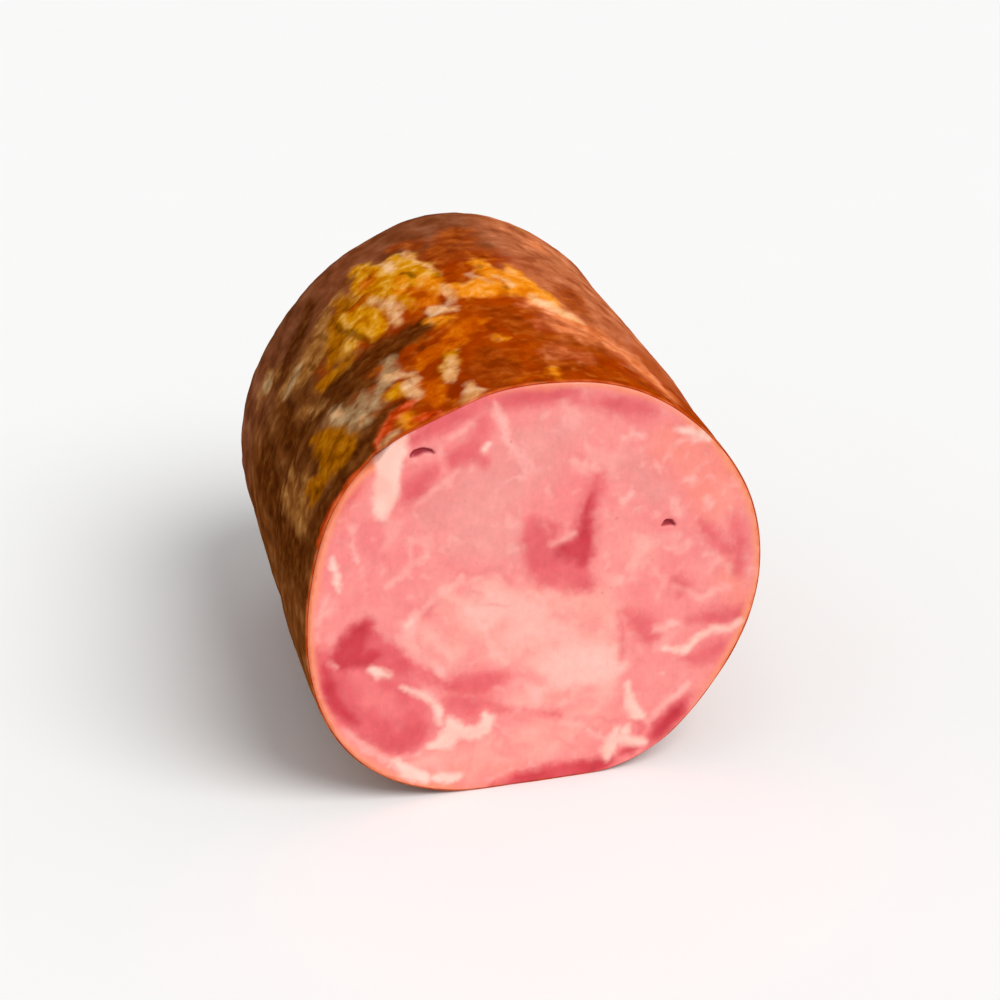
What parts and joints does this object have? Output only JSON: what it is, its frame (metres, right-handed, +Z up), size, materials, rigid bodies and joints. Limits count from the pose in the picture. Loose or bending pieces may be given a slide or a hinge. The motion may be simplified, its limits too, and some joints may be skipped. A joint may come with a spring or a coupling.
{
  "type": "cased cured ham",
  "caption": "Cured smoked ham in a close casing, cut straight across, with a marbled pink cut face and a rounded, gathered far end. It lies on its side.",
  "frame": {"origin": "on the surface that the ham rests on, under the middle of its bounding box", "axes": "+Y along the ham, from the cut face to the gathered end; +Z up; +X to the right of someone who faces the cut"},
  "size_m": [0.118, 0.1494, 0.1158],
  "materials": {
    "meat": "moist cured pork, mid pink, with paler and darker muscles and cream fat",
    "casing": "thin smoked casing, glossy, mottled from amber to dark red-brown over fat and lean"
  },
  "bodies": {
    "root": {"meat": "meat", "casing": "casing"}
  },
  "joints": []
}
